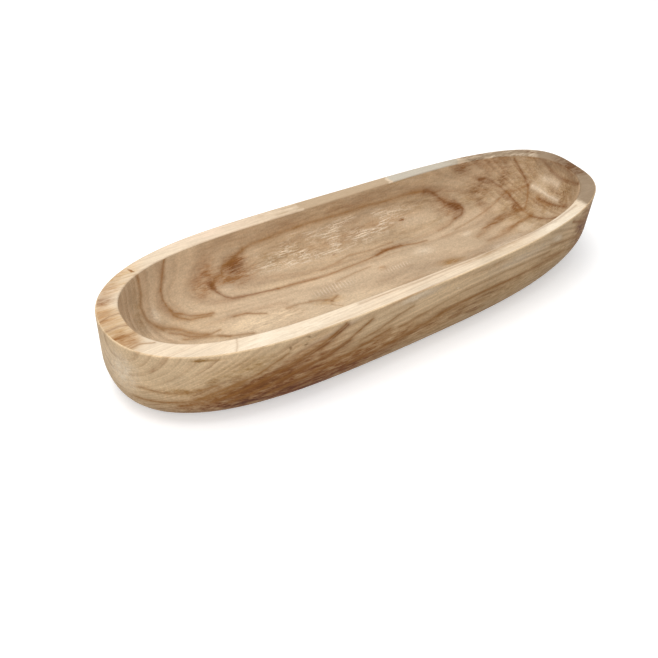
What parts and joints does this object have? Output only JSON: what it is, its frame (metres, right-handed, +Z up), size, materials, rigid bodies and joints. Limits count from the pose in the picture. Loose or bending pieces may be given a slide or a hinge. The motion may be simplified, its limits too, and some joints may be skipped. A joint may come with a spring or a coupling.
{
  "type": "wooden serving tray",
  "caption": "Long narrow serving tray carved from a single block of pale wood: rounded ends, flat rim, smooth deep hollow and a boat-like underside on a flat base.",
  "frame": {"origin": "on the ground plane under the middle of the tray's bounding box, at the flat base", "axes": "+X along the tray towards its right, narrower end, +Y across it from front to back, +Z up out of the hollow"},
  "size_m": [0.5, 0.1592, 0.075],
  "materials": {
    "pale_wood": "matte"
  },
  "bodies": {
    "root": {"tray": "pale_wood"}
  },
  "joints": []
}
